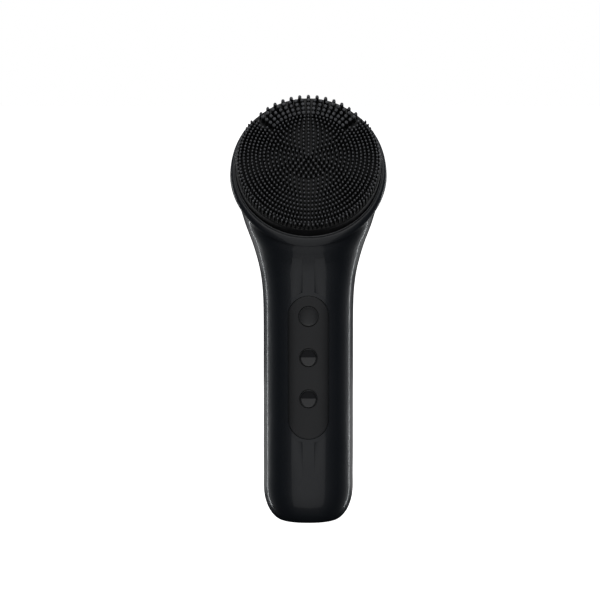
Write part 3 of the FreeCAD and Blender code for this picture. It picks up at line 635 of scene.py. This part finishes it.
class Paint:
    """A small helper that builds one procedural material."""

    def __init__(self, name):
        self.material = bpy.data.materials.new(name)
        self.material.use_nodes = True
        self.tree = self.material.node_tree
        self.shader = self.tree.nodes["Principled BSDF"]
        self.place = self.tree.nodes.new("ShaderNodeTexCoord").outputs["Object"]

    def link(self, out, into):
        self.tree.links.new(out, into)

    def noise(self, scale, detail=3.0, roughness=0.5, stretch=None):
        node = self.tree.nodes.new("ShaderNodeTexNoise")
        node.inputs["Scale"].default_value = scale
        node.inputs["Detail"].default_value = detail
        node.inputs["Roughness"].default_value = roughness
        place = self.place
        if stretch:
            mapping = self.tree.nodes.new("ShaderNodeMapping")
            mapping.inputs["Scale"].default_value = stretch
            self.link(place, mapping.inputs["Vector"])
            place = mapping.outputs["Vector"]
        self.link(place, node.inputs["Vector"])
        return node.outputs["Fac"]

    def spread(self, value, low, high, start=0.3, end=0.7):
        node = self.tree.nodes.new("ShaderNodeMapRange")
        node.inputs["From Min"].default_value = start
        node.inputs["From Max"].default_value = end
        node.inputs["To Min"].default_value = low
        node.inputs["To Max"].default_value = high
        self.link(value, node.inputs["Value"])
        return node.outputs["Result"]

    def colours(self, value, low, high, start=0.3, end=0.7, last=None):
        node = self.tree.nodes.new("ShaderNodeValToRGB")
        node.color_ramp.elements[0].color = (*low, 1)
        node.color_ramp.elements[1].color = (*high, 1)
        node.color_ramp.elements[0].position = start
        node.color_ramp.elements[1].position = end
        if last:
            node.color_ramp.elements.new(1.0).color = (*last, 1)
        self.link(value, node.inputs["Fac"])
        self.link(node.outputs["Color"], self.shader.inputs["Base Color"])

    def bump(self, value, depth_mm, strength=1.0, below=None):
        node = self.tree.nodes.new("ShaderNodeBump")
        node.inputs["Strength"].default_value = strength
        node.inputs["Distance"].default_value = depth_mm * MM
        self.link(value, node.inputs["Height"])
        if below:
            self.link(below, node.inputs["Normal"])
        self.link(node.outputs["Normal"], self.shader.inputs["Normal"])
        return node.outputs["Normal"]

    def set(self, **values):
        for name, value in values.items():
            self.shader.inputs[name.replace("_", " ")].default_value = value


def gloss_plastic(name, low, high, rough_low, rough_high, coat=0.0):
    paint = Paint(name)
    paint.colours(paint.noise(60, 4), low, high)
    smudge = paint.noise(45, 6, 0.62)
    paint.link(paint.spread(smudge, rough_low, rough_high), paint.shader.inputs["Roughness"])
    peel = paint.bump(paint.noise(900, 2), 0.004, 0.5)
    paint.bump(paint.noise(4000, 2), 0.001, 0.3, peel)
    paint.set(IOR=1.5, Coat_Weight=coat, Coat_Roughness=COAT_ROUGHNESS)
    return paint.material


def soft_rubber(name, low, high, rough_low, rough_high, depth):
    paint = Paint(name)
    paint.colours(paint.noise(250, 5), low, high)
    paint.link(paint.spread(paint.noise(300, 4), rough_low, rough_high),
               paint.shader.inputs["Roughness"])
    paint.bump(paint.noise(3500, 3), depth, 0.6)
    paint.set(IOR=1.43)
    return paint.material


def bristle_painted_shade_and_highlight(name, root, tip):
    """Silicone with painted shade darkening the roots and a painted highlight lightening the fine
    tips; darker again above them.
    """
    paint = Paint(name)
    sphere = sphere_radius(PAD_EDGE_N, PAD_APEX_N)
    middle = HEAD @ Vector((0, 0, PAD_APEX_N - sphere))
    reach = paint.tree.nodes.new("ShaderNodeVectorMath")
    reach.operation = "DISTANCE"
    reach.inputs[1].default_value = middle * MM
    paint.link(paint.place, reach.inputs[0])
    # painted shade low between the bristles, lifting to a painted highlight at the fine tips
    height = paint.spread(reach.outputs["Value"], 0.0, 1.0, (sphere + SHADE_TO_HIGHLIGHT_SPAN[0]) * MM,
                          (sphere + SHADE_TO_HIGHLIGHT_SPAN[1]) * MM)
    specks = paint.spread(paint.noise(400, 4), -0.08, 0.08)
    total = paint.tree.nodes.new("ShaderNodeMath")
    total.operation = "ADD"
    paint.link(height, total.inputs[0])
    paint.link(specks, total.inputs[1])
    beyond = tuple(BEYOND_TIP * c for c in tip)
    paint.colours(total.outputs["Value"], root, tip, *TIP_STOPS, beyond)
    paint.link(paint.spread(paint.noise(300, 4), 0.45, 0.55), paint.shader.inputs["Roughness"])
    paint.bump(paint.noise(3500, 3), 0.004, 0.4)
    paint.set(IOR=1.4)
    return paint.material


def metal(name, low, high, rough_low, rough_high, stretch=None):
    paint = Paint(name)
    paint.colours(paint.noise(300, 4), low, high)
    paint.link(paint.spread(paint.noise(900, 5, 0.6, stretch), rough_low, rough_high),
               paint.shader.inputs["Roughness"])
    paint.bump(paint.noise(2500, 3, 0.5, stretch), 0.004, 0.4)
    paint.set(Metallic=1.0)
    return paint.material


def moulded(name, low, high, rough=0.5):
    paint = Paint(name)
    paint.colours(paint.noise(200, 4), low, high)
    paint.link(paint.spread(paint.noise(500, 4), rough - 0.07, rough + 0.07),
               paint.shader.inputs["Roughness"])
    paint.bump(paint.noise(2600, 2), 0.008, 0.5)
    return paint.material


def make_materials():
    return {
        "gloss_shell": gloss_plastic("gloss_shell", (0.023, 0.0275, 0.035), (0.0265, 0.031, 0.039),
                                     0.36, 0.44, 0.4),
        "trim_black": gloss_plastic("trim_black", (0.085, 0.09, 0.098), (0.1, 0.105, 0.113),
                                    0.2, 0.3, 1.0),
        "panel_black": gloss_plastic("panel_black", (0.026, 0.028, 0.032),
                                     (0.03, 0.032, 0.036), 0.28, 0.36),
        "button_black": gloss_plastic("button_black", (0.034, 0.036, 0.04),
                                      (0.038, 0.04, 0.044), 0.3, 0.38),
        "silicone_black": soft_rubber("silicone_black", (0.024, 0.0245, 0.026),
                                      (0.03, 0.0305, 0.032), 0.42, 0.56, 0.006),
        # bristles: painted shade at the roots, painted highlight at the tips
        "bristle_black": bristle_painted_shade_and_highlight("bristle_black", (0.011, 0.0115, 0.0125),
                                          (0.26, 0.267, 0.285)),
        "seal_rubber": soft_rubber("seal_rubber", (0.03, 0.03, 0.03), (0.05, 0.05, 0.05),
                                   0.5, 0.65, 0.006),
        "inner_plastic": moulded("inner_plastic", (0.03, 0.03, 0.032), (0.045, 0.045, 0.047)),
        "board_green": moulded("board_green", (0.01, 0.06, 0.03), (0.015, 0.085, 0.04), 0.35),
        "chip_black": moulded("chip_black", (0.012, 0.012, 0.012), (0.02, 0.02, 0.02)),
        "switch_black": moulded("switch_black", (0.015, 0.015, 0.015), (0.025, 0.025, 0.025)),
        "connector_white": moulded("connector_white", (0.6, 0.58, 0.5), (0.7, 0.68, 0.6), 0.4),
        "screw_steel": metal("screw_steel", (0.5, 0.5, 0.52), (0.62, 0.62, 0.64), 0.25, 0.4),
        "cell_wrap": moulded("cell_wrap", (0.02, 0.06, 0.2), (0.03, 0.08, 0.26), 0.3),
        "motor_steel": metal("motor_steel", (0.42, 0.42, 0.44), (0.52, 0.52, 0.54), 0.25, 0.4,
                             (1, 1, 6)),
        "bush_brass": metal("bush_brass", (0.6, 0.42, 0.16), (0.7, 0.5, 0.2), 0.2, 0.35),
        "lead_red": soft_rubber("lead_red", (0.3, 0.02, 0.015), (0.4, 0.03, 0.02), 0.4, 0.5, 0.004),
        "contact_gold": metal("contact_gold", (0.85, 0.6, 0.25), (0.95, 0.7, 0.32), 0.15, 0.25),
    }


MATERIALS = make_materials()


def paint(piece, slot):
    piece.data.materials.clear()
    piece.data.materials.append(MATERIALS[slot])


def paint_cad_nodes():
    slots = {s["node"]: s["material_slot"] for s in frame["record"]["subparts"]}
    for name, node in frame["nodes"].items():
        for holder in node.material_slots:
            holder.material = MATERIALS[slots[name]]


# --- stage ----------------------------------------------------------------------------------
CAMERA_ELEVATION = 6.0
CAMERA_DISTANCE = 1000.0
VIEW_WIDTH = 240.0
AIM_X, AIM_UP = -3.34, 88.16     # the view's middle, in the view's own directions
LIT_Z = 0.09                     # m; the height that the studio's lights point at
FLOOR_HALF, FLOOR_Z = 6000.0, -0.2


def make_camera():
    data = bpy.data.cameras.new("camera")
    camera = bpy.data.objects.new("camera", data)
    bpy.context.scene.collection.objects.link(camera)
    tilt = math.radians(CAMERA_ELEVATION)
    back = Vector((0, -math.cos(tilt), math.sin(tilt)))
    aim = Vector((AIM_X, 0, AIM_UP / math.cos(tilt)))
    camera.location = (aim + back * CAMERA_DISTANCE) * MM
    camera.rotation_euler = (-back).to_track_quat("-Z", "Y").to_euler()
    data.sensor_width = 36.0
    data.lens = data.sensor_width * CAMERA_DISTANCE / VIEW_WIDTH
    data.clip_start, data.clip_end = 0.05, 20.0
    bpy.context.scene.camera = camera


def soft_light(name, place, aim, width, height, strength, colour=(1, 1, 1)):
    data = bpy.data.lights.new(name, "AREA")
    data.shape = "RECTANGLE"
    data.size, data.size_y = width, height
    data.energy = strength
    data.color = colour
    light = bpy.data.objects.new(name, data)
    bpy.context.scene.collection.objects.link(light)
    light.location = place
    toward = Vector(aim) - Vector(place)
    light.rotation_euler = toward.to_track_quat("-Z", "Y").to_euler()
    return light


def around(azimuth, elevation, distance):
    """A place round the object, in m; azimuth 0 is in front of it."""
    a, e = math.radians(azimuth), math.radians(elevation)
    return (distance * math.sin(a) * math.cos(e), -distance * math.cos(a) * math.cos(e),
            LIT_Z + distance * math.sin(e))


def make_lights():
    middle = (0, 0, LIT_Z)
    lights = [
        soft_light("front_box", around(0, 4, 1.3), middle, 1.25, 2.3, 3.9),
        soft_light("upper_box", around(0, 42, 1.2), middle, 1.0, 0.8, 1.2),
        soft_light("top_box", around(0, 80, 0.9), middle, 0.8, 0.8, 2.0),
        soft_light("back_card", (0, 0.4, 0.24), (0, 0, 0.24), 0.8, 0.33, 0.6),
        soft_light("floor_card", (0, 0.21, 0.001), (0, 0.21, 1.0), 0.6, 0.34, 0.27),
    ]
    for side in (-1, 1):
        lights.append(soft_light("rim_strip", around(side * 120, 0, 0.9), middle, 0.05, 1.2, 1.8,
                                 (0.95, 0.98, 1.0)))
    for light in lights:
        light.visible_camera = False


def make_floor():
    size, z = FLOOR_HALF, FLOOR_Z
    verts = [(-size, -size, z), (size, -size, z), (size, size, z), (-size, size, z)]
    floor = new_piece("floor", verts, [(0, 1, 2, 3)], None)
    paint_floor = Paint("pale_floor")
    paint_floor.colours(paint_floor.noise(3, 2), (0.93, 0.93, 0.93), (0.95, 0.95, 0.95))
    paint_floor.set(Roughness=0.9)
    paint_floor.shader.inputs["Emission Color"].default_value = (1, 1, 1, 1)
    paint_floor.shader.inputs["Emission Strength"].default_value = 1.3
    floor.data.materials.append(paint_floor.material)
    floor.visible_glossy = False
    floor.visible_diffuse = False
    floor.visible_shadow = False


def make_world():
    scene = bpy.context.scene
    scene.world = bpy.data.worlds.new("studio")
    scene.world.use_nodes = True
    ground = scene.world.node_tree.nodes["Background"]
    ground.inputs["Color"].default_value = (1, 1, 1, 1)
    ground.inputs["Strength"].default_value = 1.0
    scene.world.cycles_visibility.glossy = False
    scene.world.cycles_visibility.diffuse = False
    scene.view_settings.view_transform = "Standard"


make_camera()
make_world()
make_floor()
make_lights()
paint_cad_nodes()
grip_front = make_casings()
make_panel(grip_front)
make_buttons()
make_trim()
make_pad()
make_bristles()
